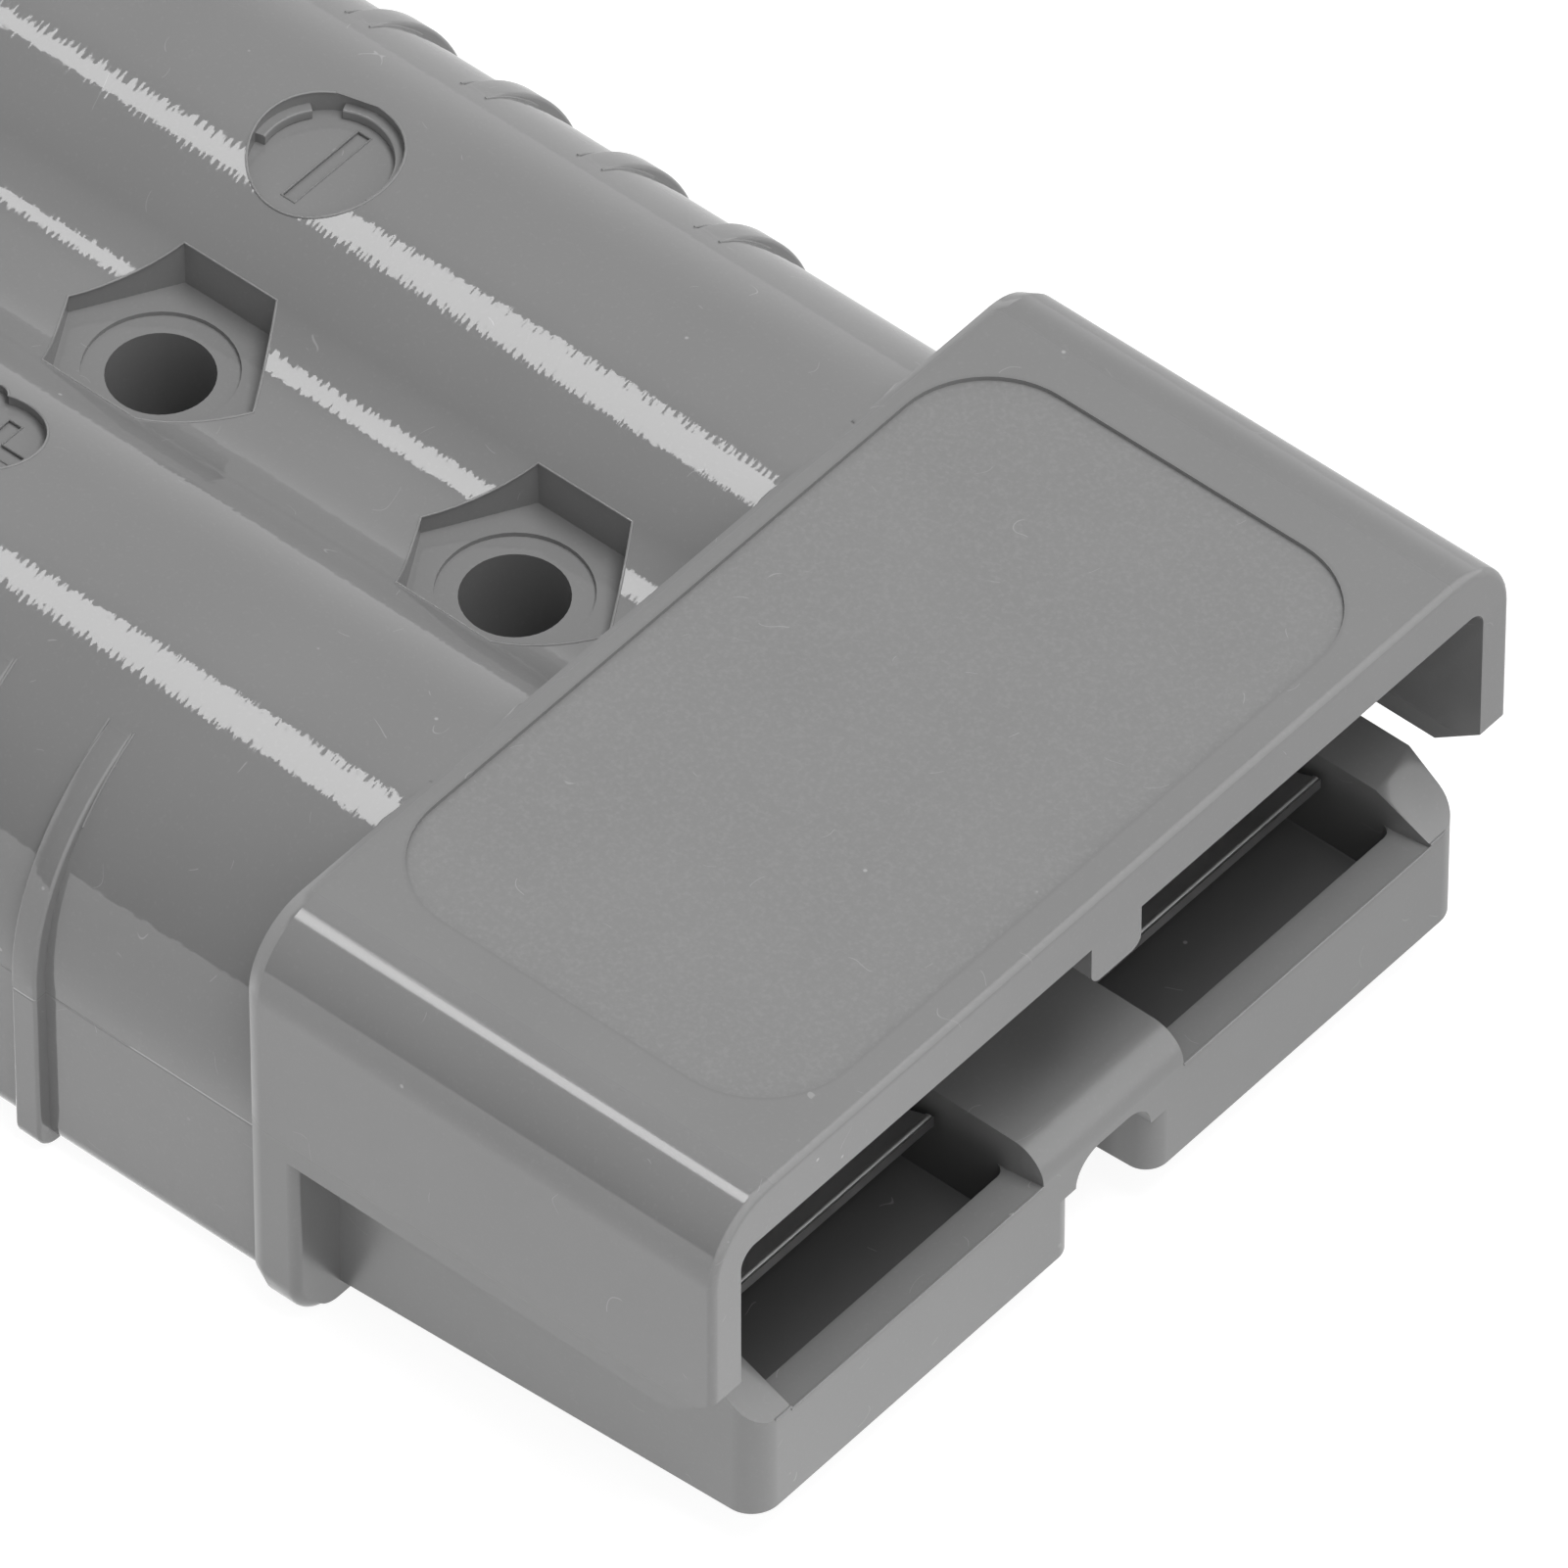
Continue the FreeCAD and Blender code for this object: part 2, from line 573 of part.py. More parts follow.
def cut_screw_holes(body):
    """Two screw holes on the middle plane, each under a nut pocket with a seat."""
    places = [f"-({FIRST_SCREW})", f"-({FIRST_SCREW} + screw_spacing)"]
    corner = "nut_width / sqrt(3)"
    sketch = new_sketch(body, "XY_Plane", "nut_plan", "nut_floor")
    for place in places:
        points = []
        for number in range(6):
            across = round(math.cos(math.radians(60 * number)), 6)
            up = round(math.sin(math.radians(60 * number)), 6)
            points.append((f"{place} + {across} * {corner}", f"{up} * {corner}"))
        outline(sketch, points)
    extrude(body, "Pocket", sketch, "nut_pockets", None, backwards=True)

    sketch = new_sketch(body, "XY_Plane", "seat_plan", "nut_floor")
    for place in places:
        circle(sketch, place, "0", "nut_seat_radius")
    extrude(body, "Pocket", sketch, "nut_seats", "nut_seat_sink")

    sketch = new_sketch(body, "XY_Plane", "hole_plan", "hood_height")
    for place in places:
        circle(sketch, place, "0", "screw_hole_radius")
    extrude(body, "Pocket", sketch, "screw_holes", None)


def cut_marks(body):
    """A round recess on each barrel, with a minus sign on the left one and a plus sign on the right."""
    place = f"-({FIRST_SCREW} + screw_spacing)"
    for side, radius in ((1, "minus_recess_radius"), (-1, "plus_recess_radius")):
        name = "minus" if side > 0 else "plus"
        across = f"{side} * mark_offset"
        sketch = new_sketch(body, "XY_Plane", name + "_recess_plan", "mark_floor")
        circle(sketch, place, across, radius)
        extrude(body, "Pocket", sketch, name + "_recess", None, backwards=True)
        sketch = new_sketch(body, "XY_Plane", name + "_notch_plan", "mark_floor")
        circle(sketch, f"{place} + {radius} * cos(mark_notch_turn)",
               f"{across} + {radius} * sin(mark_notch_turn)", "mark_notch_radius")
        extrude(body, "Pocket", sketch, name + "_notch", None, backwards=True)
        sketch = new_sketch(body, "XY_Plane", name + "_sign_plan", "mark_floor")
        reach = "mark_length / 2" if side > 0 else "plus_length / 2"
        thick = "mark_width / 2"
        if side > 0:
            box_outline(sketch, (f"{place} - {thick}", f"{across} - {reach}"),
                        (f"{place} + {thick}", f"{across} + {reach}"))
        else:
            outline(sketch, plus_points(place, across, reach, thick))
        extrude(body, "Pocket", sketch, name + "_sign", "mark_sink")


def plus_points(along, across, reach, thick):
    """The twelve corners of a plus sign."""
    corner = [(thick, reach), (thick, thick), (reach, thick)]
    points = []
    for turn in range(4):
        for first, second in corner:
            pair = (first, second)
            for _ in range(turn):
                pair = (pair[1], f"-({pair[0]})")
            points.append((f"{along} + {pair[0]}", f"{across} + {pair[1]}"))
    return points


def cut_panel(body):
    """The shallow textured panel on top of the hood."""
    sketch = new_sketch(body, "XY_Plane", "panel_plan", "hood_height")
    front = "-panel_front"
    rear = "-panel_front - panel_length"
    half = "panel_width / 2"
    points = [
        (f"{rear} + panel_radius", f"-{half}"), (f"{front} - panel_radius", f"-{half}"),
        (front, f"-{half} + panel_radius"), (front, f"{half} - panel_radius"),
        (f"{front} - panel_radius", half), (f"{rear} + panel_radius", half),
        (rear, f"{half} - panel_radius"), (rear, f"-{half} + panel_radius"),
    ]
    outline(sketch, points, {number: ("panel_radius", 1) for number in (1, 3, 5, 7)})
    extrude(body, "Pocket", sketch, "panel", "panel_depth")


def cut_spring_slots(body):
    """A slot across the floor of each contact window, which the leaf's hook drops into."""
    gap = "leaf_slot_clearance"
    low = (f"-leaf_hook_back - {gap}", f"-cell_depth - leaf_hook_depth - {gap}")
    high = (f"-leaf_hook_back + leaf_thickness + {gap}", "-cell_depth")
    for side, name in ((1, "left"), (-1, "right")):
        middle = f"(({CELL_INNER}) + ({CELL_OUTER})) / 2"
        sketch = new_sketch(body, "XZ_Plane", name + "_slot_section", f"-({side}) * {middle}")
        box_outline(sketch, low, high)
        extrude(body, "Pocket", sketch, name + "_slot", f"({CELL_OUTER}) - ({CELL_INNER})", both_ways=True)


def housing():
    body = new_body("housing")
    add_collar(body)
    add_barrels(body)
    add_ribs(body)
    add_hood(body)
    cut_hood_cavity(body)
    add_key(body)
    cut_cells(body)
    cut_ramps(body)
    cut_groove(body)
    cut_bores(body)
    cut_screw_holes(body)
    cut_marks(body)
    cut_panel(body)
    cut_spring_slots(body)
    return body


def leaf_spring(label, side):
    """A leaf that lies on the cell floor, hooks into its slot and rises towards the mating plane."""
    body = new_body(label)
    width = f"({CELL_OUTER}) - ({CELL_INNER}) - 2 * leaf_gap"
    middle = f"(({CELL_INNER}) + ({CELL_OUTER})) / 2"
    sketch = new_sketch(body, "XZ_Plane", label + "_profile", f"-({side}) * {middle}")
    floor = "-cell_depth"
    top = f"{floor} + leaf_thickness"
    hook_foot = f"{floor} - leaf_hook_depth"
    hook_front = "-leaf_hook_back + leaf_thickness"
    points = [
        ("-leaf_hook_back", hook_foot),
        (hook_front, hook_foot),
        (hook_front, floor),
        ("-leaf_rise_start", floor),
        ("-leaf_tip_back", "-leaf_tip_drop - leaf_thickness"),
        ("-leaf_tip_back", "-leaf_tip_drop"),
        ("-leaf_rise_start", top),
        ("-leaf_hook_back", top),
    ]
    outline(sketch, points, {3: ("leaf_bow_radius", 1), 5: ("leaf_bow_radius - leaf_thickness", -1)})
    extrude(body, "Pad", sketch, label + "_leaf", width, both_ways=True)
    return body


def check(document):
    """Stops when any feature failed or any sub-part isn't one valid solid."""
    for item in document.Objects:
        if "Invalid" in item.State or "Error" in item.State:
            raise RuntimeError(f"{item.Name} is {item.State}")
    for body in document.Objects:
        if body.isDerivedFrom("PartDesign::Body"):
            shape = body.Shape
            if shape.isNull() or not shape.isValid() or len(shape.Solids) != 1:
                raise RuntimeError(f"{body.Label} isn't one valid solid")


doc = FreeCAD.newDocument("power_connector")
sheet = make_sheet(doc)
bodies = [housing(), leaf_spring("left_spring", 1), leaf_spring("right_spring", -1)]
doc.recompute()
check(doc)
os.makedirs("parts", exist_ok=True)
for part in bodies:
    part.Shape.exportStep(f"parts/{part.Label}.step")
    box = part.Shape.BoundBox
    print(part.Label, f"volume {part.Shape.Volume:.1f} mm3")
    print(f"    {box.XLength:.2f} x {box.YLength:.2f} x {box.ZLength:.2f} mm")
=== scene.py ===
import math

import bmesh
import bpy
from mathutils import Matrix, Vector


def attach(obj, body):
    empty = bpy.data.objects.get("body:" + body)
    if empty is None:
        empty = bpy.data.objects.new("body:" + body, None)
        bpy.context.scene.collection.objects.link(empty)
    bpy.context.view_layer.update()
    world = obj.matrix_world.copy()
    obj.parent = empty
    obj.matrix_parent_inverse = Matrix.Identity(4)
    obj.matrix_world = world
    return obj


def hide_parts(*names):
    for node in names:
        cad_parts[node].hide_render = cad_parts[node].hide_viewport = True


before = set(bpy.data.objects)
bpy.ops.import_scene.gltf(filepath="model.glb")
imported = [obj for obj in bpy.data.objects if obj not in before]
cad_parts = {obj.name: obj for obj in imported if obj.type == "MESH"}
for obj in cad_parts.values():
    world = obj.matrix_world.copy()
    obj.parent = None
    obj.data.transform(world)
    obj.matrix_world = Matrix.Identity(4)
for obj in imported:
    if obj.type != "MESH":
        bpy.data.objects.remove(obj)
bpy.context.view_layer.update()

MM = 0.001

# Camera, fitted to the photograph. Its place is in millimetres in the part's frame.
IMAGE_PIXELS = 1601
FOCAL_PIXELS = 25721.0
SENSOR_MM = 36.0
CAMERA_AZIMUTH = 40.515
CAMERA_ELEVATION = 47.2
CAMERA_MM = (486.89, -592.87, 848.54)

# The housing's places, in millimetres
HOOD_TOP = 13.7
HOOD_SIDE = 24.0
HOOD_REAR = -27.7
BASE = -11.1
PANEL_MIDDLE_X = -14.2
PANEL_HALF_X = 12.3
PANEL_HALF_Y = 21.5
PANEL_RADIUS = 5.0
CELL_REAR = -31.5
CELL_FRONT = -2.4
CELL_SIDE = 22.7
CELL_ROOF = -2.1
UNDER_HOOD = 1.5
BARRELS_FRONT = -28.1
PARTING_UP = -0.65
PARTING_SIDE = 26.6

# How rough the plastic is, where each value adds to the ones above it
ROUGH_PLAIN = 0.03
ROUGH_MOTTLE = 0.02
ROUGH_FRONT = 0.05
ROUGH_HOOD_TOP = 0.24
ROUGH_PANEL = 0.16
ROUGH_UNDER_HOOD = 0.22
ROUGH_SPECKS = 0.2

# How high the plastic's fine patterns stand, in millimetres
RIPPLE_HEIGHT = 0.0030
COMB_HEIGHT = 0.0040
HOOD_GRAIN = 0.006
PANEL_GRAIN = 0.012
PARTING_DEPTH = 0.02

# Round faces that run along x: middle (across, up), radius, and 1 for convex or -1 for hollow, in millimetres
LONG_ROUNDS = (
    (13.3, 0.0, 13.5, 1),
    (0.0, 17.399, 8.4, -1),
    (24.0, 9.7, 4.0, 1),
    (13.3, 1.0, 9.0, -1),
    (0.95, -4.7, 1.7, -1),
)
# How far a corner may lie off a round face, and how coarse the CAD's mesh of it is, in millimetres
ON_SURFACE = 0.03
MESH_SAG = 0.02
# Degrees between the faces of one flat patch, and between patches that are shaded as one round face
FLAT_ANGLE = 0.4
SOFT_ANGLE = 42.0
# Patches narrower than this, in millimetres, belong to a round face
HOUSING_STRIP = 1.05
SPRING_STRIP = 4.0

# Grip ribs, in millimetres
RIB_WIDTH = 1.5
RIB_HEIGHT = 1.6
RIB_ROUND = 0.19
RIB_FIRST = -41.85
RIB_PITCH = -7.15
RIB_COUNT = 5
RIB_OUTER = 27.55
RIB_ARC = 12.8
RIB_ARC_DEGREES = 70
RIB_FOOT = 1.3
RIB_UNDER = 1.6
RIB_SINK = 0.05

# Barrels, the valley between them and their roots at the collar, in millimetres
BARREL_AXIS = 13.3
BARREL_RADIUS = 13.5
BARREL_SIDE = 26.8
BASE_CORNER = 1.7
COLLAR_REAR = -27.85
COLLAR_EDGE = 0.45
VALLEY_UP = 17.399
VALLEY_RADIUS = 8.4
ROOT_RADIUS = 0.6
ROOT_DEPTH = 0.2

# Rims, the minus mark's recess and the springs' front edges, in millimetres, with turns in degrees
RIM_BEAD = 0.07
RIM_REAR = -65.0
RIM_FRONT = -29.0
RIM_LOWEST = 8.0
RIM_DEGREES = 30
TONGUE_TOP = 3.0
MARK_ALONG = -57.6
MARK_SIDE = 11.7
MARK_RADIUS = 3.7
MARK_FLOOR = 12.25
MARK_FRONT = -52.0
NOTCH_TURN = 130
NOTCH_REACH = 0.83
LEDGE_WIDTH = 0.6
LEDGE_ROUND = 0.1
LEDGE_TURNS = ((-14, 117), (143, 194))
SPRING_LIP = 0.55

# Lamps and the light around them. A radiance is what a mirror would show.
AMBIENT = 0.44
LAMP_HEIGHT = 1.2
LAMP_RADIANCE = 7.6
STRIP_RADIANCE = 9.4
FILL_RADIANCE = 0.4
# The outline (x, y) in metres in which the barrels mirror the overhead lamp
LAMP_OUTLINE = (
    (-1.00, -0.06), (-0.80, 0.00), (-0.724, 0.033), (-0.69, 0.11), (-0.63, 0.14), (-0.62, 0.05), (-0.30, 0.05),
    (-0.30, -0.20), (-0.62, -0.20), (-0.63, -0.23), (-0.68, -0.17), (-0.70, -0.11), (-0.80, -0.10), (-1.00, -0.12),
)
FLOOR_REACH = 3.0
FLOOR_GAP = 0.0001
FLOOR_FADE_MM = 30.0
CAMERA_SEES_TO = 20.0


class Socket:
    """An output of a node. Python's operators on it add Math nodes."""

    def __init__(self, nodes, output):
        self.nodes = nodes
        self.output = output

    def math(self, operation, *values):
        return self.nodes.node("ShaderNodeMath", {"operation": operation}, dict(enumerate(values)))

    def __add__(self, other):
        return self.math("ADD", self, other)

    def __radd__(self, other):
        return self.math("ADD", other, self)

    def __sub__(self, other):
        return self.math("SUBTRACT", self, other)

    def __rsub__(self, other):
        return self.math("SUBTRACT", other, self)

    def __mul__(self, other):
        return self.math("MULTIPLY", self, other)

    def __rmul__(self, other):
        return self.math("MULTIPLY", other, self)

    def __pow__(self, other):
        return self.math("POWER", self, other)

    def __abs__(self):
        return self.math("ABSOLUTE", self)

    def at_least(self, other):
        return self.math("MAXIMUM", self, other)

    def at_most(self, other):
        return self.math("MINIMUM", self, other)

    def rises(self, start, end):
        """0 below start, 1 above end, smooth between them. Falls when end is below start."""
        return self.nodes.node("ShaderNodeMapRange", {"interpolation_type": "SMOOTHSTEP"},
                               {0: self, 1: start, 2: end, 3: 0.0, 4: 1.0})

    def sibling(self, name):
        """Another output of the same node."""
        return Socket(self.nodes, self.output.node.outputs[name])


class NodeTree:
    """A node tree that is built with calls."""

    def __init__(self, tree):
        self.tree = tree

    def node(self, kind, settings=None, values=None, output=0):
        """A new node with its settings and the values or links of its inputs. Returns one of its outputs."""
        node = self.tree.nodes.new(kind)
        for name, value in (settings or {}).items():
            setattr(node, name, value)
        for name, value in (values or {}).items():
            if isinstance(value, Socket):
                self.tree.links.new(value.output, node.inputs[name])
            else:
                node.inputs[name].default_value = value
        return Socket(self, node.outputs[output]) if len(node.outputs) else None

    def split(self, vector):
        """The x, y and z of a vector."""
        first = self.node("ShaderNodeSeparateXYZ", values={0: vector})
        return [first.sibling(axis) for axis in "XYZ"]

    def given(self, name, kind):
        """A named input of the tree, as the identifier that sets it and its socket."""
        made = self.tree.interface.new_socket(name=name, in_out="INPUT", socket_type="NodeSocket" + kind)
        return made.identifier, self.node("NodeGroupInput", output=name)


class Shader(NodeTree):
    """A material's or world's node tree, with what its patterns are made of."""

    def __init__(self, owner):
        owner.use_nodes = True
        super().__init__(owner.node_tree)
        self.tree.nodes.clear()

    def place(self):
        """Object coordinates in millimetres."""
        place = self.node("ShaderNodeTexCoord", output="Object")
        return self.node("ShaderNodeVectorMath", {"operation": "SCALE"}, {0: place, "Scale": 1 / MM})

    def stretched(self, vector, along, across, up):
        return self.node("ShaderNodeVectorMath", {"operation": "MULTIPLY"}, {0: vector, 1: (along, across, up)})

    def noise(self, vector, scale, detail, roughness=0.5):
        return self.node("ShaderNodeTexNoise", values={
            "Vector": vector, "Scale": scale, "Detail": detail, "Roughness": roughness})

    def mixed(self, factor, first, second):
        """A blend of two colours."""
        return self.node("ShaderNodeMix", {"data_type": "RGBA"},
                         {"Factor": factor, 6: first, 7: second}, output=2)

    def bumped(self, height):
        """A normal from a height in millimetres."""
        return self.node("ShaderNodeBump", values={"Strength": 1.0, "Distance": MM, "Height": height})


def grey(level):
    return (level, level, level, 1.0)


def dust(shader, place, cell, size, share):
    """Small round specks, one in a share of the cells."""
    cells = shader.node("ShaderNodeTexVoronoi", values={"Vector": place, "Scale": 1 / cell})
    chance = shader.split(cells.sibling("Color"))[0]
    return (cells * cell).rises(size, size * 0.5) * chance.rises(1 - share, 1 - share + 0.01)


def hairs(shader, place, scale, thickness):
    """Short thin curved lines, where a second pattern is high."""
    level = shader.noise(place, scale, 1.0)
    where = shader.noise(place, scale * 2.3, 0.0)
    return abs(level - 0.5).rises(thickness, thickness * 0.4) * where.rises(0.69, 0.72)


def housing_plastic():
    """Glossy grey plastic, with a spark-eroded hood and panel, and painted shade that darkens the contact cells under
    the hood.
    """
    material = bpy.data.materials.new("housing_plastic")
    shader = Shader(material)
    place = shader.place()
    x, y, z = shader.split(place)
    side = abs(y)

    # Zones, each 1 inside and 0 outside
    past_x = (abs(x - PANEL_MIDDLE_X) - (PANEL_HALF_X - PANEL_RADIUS)).at_least(0.0)
    past_y = (side - (PANEL_HALF_Y - PANEL_RADIUS)).at_least(0.0)
    from_panel = (past_x ** 2.0 + past_y ** 2.0) ** 0.5 - PANEL_RADIUS
    on_top = z.rises(HOOD_TOP - 0.4, HOOD_TOP - 0.3)
    panel = from_panel.rises(0.05, -0.15) * on_top
    border = abs(from_panel).rises(0.22, 0.05) * on_top
    hood_top = (z.rises(HOOD_TOP - 0.5, HOOD_TOP - 0.1) * side.rises(HOOD_SIDE + 0.4, HOOD_SIDE - 0.4)
                * x.rises(HOOD_REAR - 0.3, HOOD_REAR + 0.3))
    cell = (x.rises(CELL_REAR - 0.5, CELL_REAR + 0.5) * x.rises(CELL_FRONT + 0.5, CELL_FRONT - 0.5)
            * side.rises(CELL_SIDE + 0.3, CELL_SIDE - 0.3) * z.rises(CELL_ROOF + 1.1, CELL_ROOF - 1.1))
    barrel = x.rises(BARRELS_FRONT + 0.2, BARRELS_FRONT - 0.2)
    parting = abs(z - PARTING_UP).rises(0.10, 0.02) * side.rises(PARTING_SIDE, PARTING_SIDE + 0.15) * barrel
    under_hood = z.rises(UNDER_HOOD + 0.5, UNDER_HOOD - 0.5) * (1.0 - barrel)

    # Patterns
    mottle = shader.noise(place, 0.12, 1.0)
    grain = shader.noise(place, 4.5, 1.0, 0.6)
    specks = dust(shader, place, 2.3, 0.14, 0.12)
    fluff = hairs(shader, place, 0.26, 0.0028)
    ripple = shader.noise(place, 2.8, 0.0)
    comb = shader.noise(shader.stretched(place, 4.2, 0.25, 0.25), 1.0, 0.0)

    colour = shader.mixed(mottle, grey(0.205), grey(0.225))
    colour = shader.mixed((grain - 0.5).rises(0.05, 0.3) * 0.25, colour, grey(0.26))
    colour = shader.mixed(panel * grain.rises(0.35, 0.75) * 0.3, colour, grey(0.27))
    colour = shader.mixed(border * 0.15, colour, grey(0.12))
    # Painted shade: the contact cells under the hood are darkened in the colour, standing in for the shade they lie
    # in.
    colour = shader.mixed(cell * 0.72, colour, grey(0.08))
    colour = shader.mixed((specks + fluff * 0.6).at_most(1.0) * 0.5, colour, grey(0.5))

    rough = (ROUGH_PLAIN + ROUGH_MOTTLE * mottle + ROUGH_FRONT * (1.0 - barrel) + ROUGH_HOOD_TOP * hood_top
             + ROUGH_PANEL * panel + ROUGH_UNDER_HOOD * under_hood + ROUGH_SPECKS * specks)
    height = (barrel * (RIPPLE_HEIGHT * ripple + COMB_HEIGHT * comb)
              + hood_top * (HOOD_GRAIN + PANEL_GRAIN * panel) * grain - PARTING_DEPTH * parting)
    surface = shader.node("ShaderNodeBsdfPrincipled", values={
        "Base Color": colour, "Roughness": rough, "Normal": shader.bumped(height), "IOR": 1.5})
    shader.node("ShaderNodeOutputMaterial", values={"Surface": surface})
    return material


def spring_steel():
    """Rolled steel strip, with faint lines across the spring."""
    material = bpy.data.materials.new("spring_steel")
    shader = Shader(material)
    place = shader.place()
    lines = shader.noise(shader.stretched(place, 6.0, 0.25, 6.0), 1.0, 1.0)
    smudge = shader.noise(place, 0.3, 1.0)
    surface = shader.node("ShaderNodeBsdfPrincipled", values={
        "Base Color": shader.mixed(smudge, grey(0.5), grey(0.62)), "Metallic": 1.0,
        "Roughness": 0.4 + 0.08 * smudge, "Normal": shader.bumped(lines * 0.0015)})
    shader.node("ShaderNodeOutputMaterial", values={"Surface": surface})
    return material


def long_round_normal(point, normal):
    """The exact normal of the long round face that a corner lies on, or None."""
    for across, up, radius, turn in LONG_ROUNDS:
        for side in (1, -1):
            away = Vector((0.0, point.y - side * across, point.z - up))
            reach = away.length
            if abs(reach - radius) > ON_SURFACE:
                continue
            exact = away * (turn / reach)
            step = math.acos(1.0 - MESH_SAG / radius) * 1.3 + 0.02
            if exact.dot(normal) > math.cos(step):
                return exact
    return None


def coplanar_patches(work):
    """The number of each face's patch, and each patch's area, width and normal."""
    limit = math.radians(FLAT_ANGLE)
    patch_of = {}
    patches = []
    for seed in work.faces:
        if seed.index in patch_of:
            continue
        number = len(patches)
        patch_of[seed.index] = number
        waiting = [seed]
        area = 0.0
        longest = 0.0
        while waiting:
            face = waiting.pop()
            area += face.calc_area()
            for edge in face.edges:
                longest = max(longest, edge.calc_length())
                for other in edge.link_faces:
                    if other.index not in patch_of and other.normal.angle(face.normal, 3.0) < limit:
                        patch_of[other.index] = number
                        waiting.append(other)
        patches.append((area, area / max(longest, 1e-6), seed.normal.copy()))
    return patch_of, patches


def corner_normals(work, strip_width):
    """A normal for every corner: round faces are shaded round, and flat ones stay flat up to their edges."""
    work.faces.index_update()
    patch_of, patches = coplanar_patches(work)
    soft = math.cos(math.radians(SOFT_ANGLE))
    normals = []
    for face in work.faces:
        own_area, own_width, _ = patches[patch_of[face.index]]
        for corner in face.loops:
            exact = long_round_normal(corner.vert.co, face.normal)
            if exact is None and own_width > strip_width:
                exact = face.normal.copy()
            elif exact is None:
                around = {patch_of[other.index] for other in corner.vert.link_faces}
                near = [patches[number] for number in around if patches[number][2].dot(face.normal) > soft]
                flat = [patch for patch in near if patch[1] > strip_width]
                total = Vector()
                for area, _, normal in flat or near:
                    total += normal * (area if flat else 1.0)
                exact = total.normalized() if total.length > 0.1 * min(1.0, own_area) else face.normal.copy()
            normals.append(exact)
    return normals


def finished_copy(name, node, material, strip_width, edit):
    """The node's own mesh, joined up and shaded round, with what edit adds to it."""
    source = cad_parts[node]
    mesh = bpy.data.meshes.new(name)
    work = bmesh.new()
    work.from_mesh(source.data)
    work.transform(Matrix.Scale(1 / MM, 4))
    bmesh.ops.remove_doubles(work, verts=work.verts, dist=0.0005)
    bmesh.ops.dissolve_degenerate(work, edges=work.edges, dist=0.0002)
    edit(work, material)
    work.normal_update()
    normals = corner_normals(work, strip_width)
    work.transform(Matrix.Scale(MM, 4))
    work.to_mesh(mesh)
    work.free()
    mesh.materials.clear()
    mesh.materials.append(material)
    for face in mesh.polygons:
        face.use_smooth = True
        face.material_index = 0
    mesh.normals_split_custom_set(normals)
    piece = bpy.data.objects.new(name, mesh)
    bpy.context.scene.collection.objects.link(piece)
    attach(piece, "root")
    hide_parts(node)


def arc(middle, radius, start, end, steps):
    """Points (across, up) on an arc, for angles in degrees."""
    angles = [math.radians(start + (end - start) * step / steps) for step in range(steps + 1)]
    return [(middle[0] + radius * math.cos(angle), middle[1] + radius * math.sin(angle)) for angle in angles]


def bar_section(nodes, given):
    """A rectangle with round corners."""
    section = nodes.node("GeometryNodeCurvePrimitiveQuadrilateral", values={
        "Width": given["Width"], "Height": given["Height"]})
    return nodes.node("GeometryNodeFilletCurve", {"mode": "POLY"}, {
        "Curve": section, "Count": 4, "Radius": given["Rounding"]})


def bead_section(nodes, given):
    """A small circle."""
    return nodes.node("GeometryNodeCurvePrimitiveCircle", values={"Resolution": 10, "Radius": given["Rounding"]})


# The inputs of every sweep, with their kinds and what they are where nothing else is given
SWEEP_INPUTS = {
    "Width": ("Float", 0.0), "Height": ("Float", 0.0), "Rounding": ("Float", 0.0), "First": ("Float", 0.0),
    "Pitch": ("Float", 0.0), "Count": ("Int", 1), "Material": ("Material", None),
}


def sweep_tree(name, section):
    """Geometry nodes that sweep a section along every path and repeat it in a row along x."""
    tree = bpy.data.node_groups.new(name, "GeometryNodeTree")
    nodes = NodeTree(tree)
    paths = nodes.given("Paths", "Geometry")[1]
    identifiers = {}
    given = {}
    for title, (kind, _) in SWEEP_INPUTS.items():
        identifiers[title], given[title] = nodes.given(title, kind)
    tree.interface.new_socket(name="Rows", in_out="OUTPUT", socket_type="NodeSocketGeometry")
    profile = section(nodes, given)
    path = nodes.node("GeometryNodeMeshToCurve", values={"Mesh": paths})
    bar = nodes.node("GeometryNodeCurveToMesh", values={"Curve": path, "Profile Curve": profile, "Fill Caps": True})
    start = nodes.node("ShaderNodeCombineXYZ", values={"X": given["First"]})
    step = nodes.node("ShaderNodeCombineXYZ", values={"X": given["Pitch"]})
    row = nodes.node("GeometryNodeMeshLine", values={
        "Count": given["Count"], "Start Location": start, "Offset": step})
    rows = nodes.node("GeometryNodeInstanceOnPoints", values={"Points": row, "Instance": bar})
    rows = nodes.node("GeometryNodeRealizeInstances", values={"Geometry": rows})
    rows = nodes.node("GeometryNodeSetMaterial", values={"Geometry": rows, "Material": given["Material"]})
    nodes.node("NodeGroupOutput", values={"Rows": rows})
    return tree, identifiers


def swept(name, section, points, edges, **values):
    """A plain mesh of a section swept along the paths that points and edges make, as sweep_tree does it."""
    tree, identifiers = sweep_tree(name, section)
    start = bpy.data.meshes.new("paths")
    start.from_pydata(points, edges, [])
    holder = bpy.data.objects.new("paths", start)
    bpy.context.scene.collection.objects.link(holder)
    modifier = holder.modifiers.new("shape", "NODES")
    modifier.node_group = tree
    for title, (_, usual) in SWEEP_INPUTS.items():
        modifier[identifiers[title]] = values.get(title, usual)
    made = bpy.data.meshes.new_from_object(holder.evaluated_get(bpy.context.evaluated_depsgraph_get()))
    holder.modifiers.clear()
    bpy.data.objects.remove(holder)
    return made


def joined_up(count, first=0):
    """The edges of a path through count points."""
    return [(number, number + 1) for number in range(first, first + count - 1)]


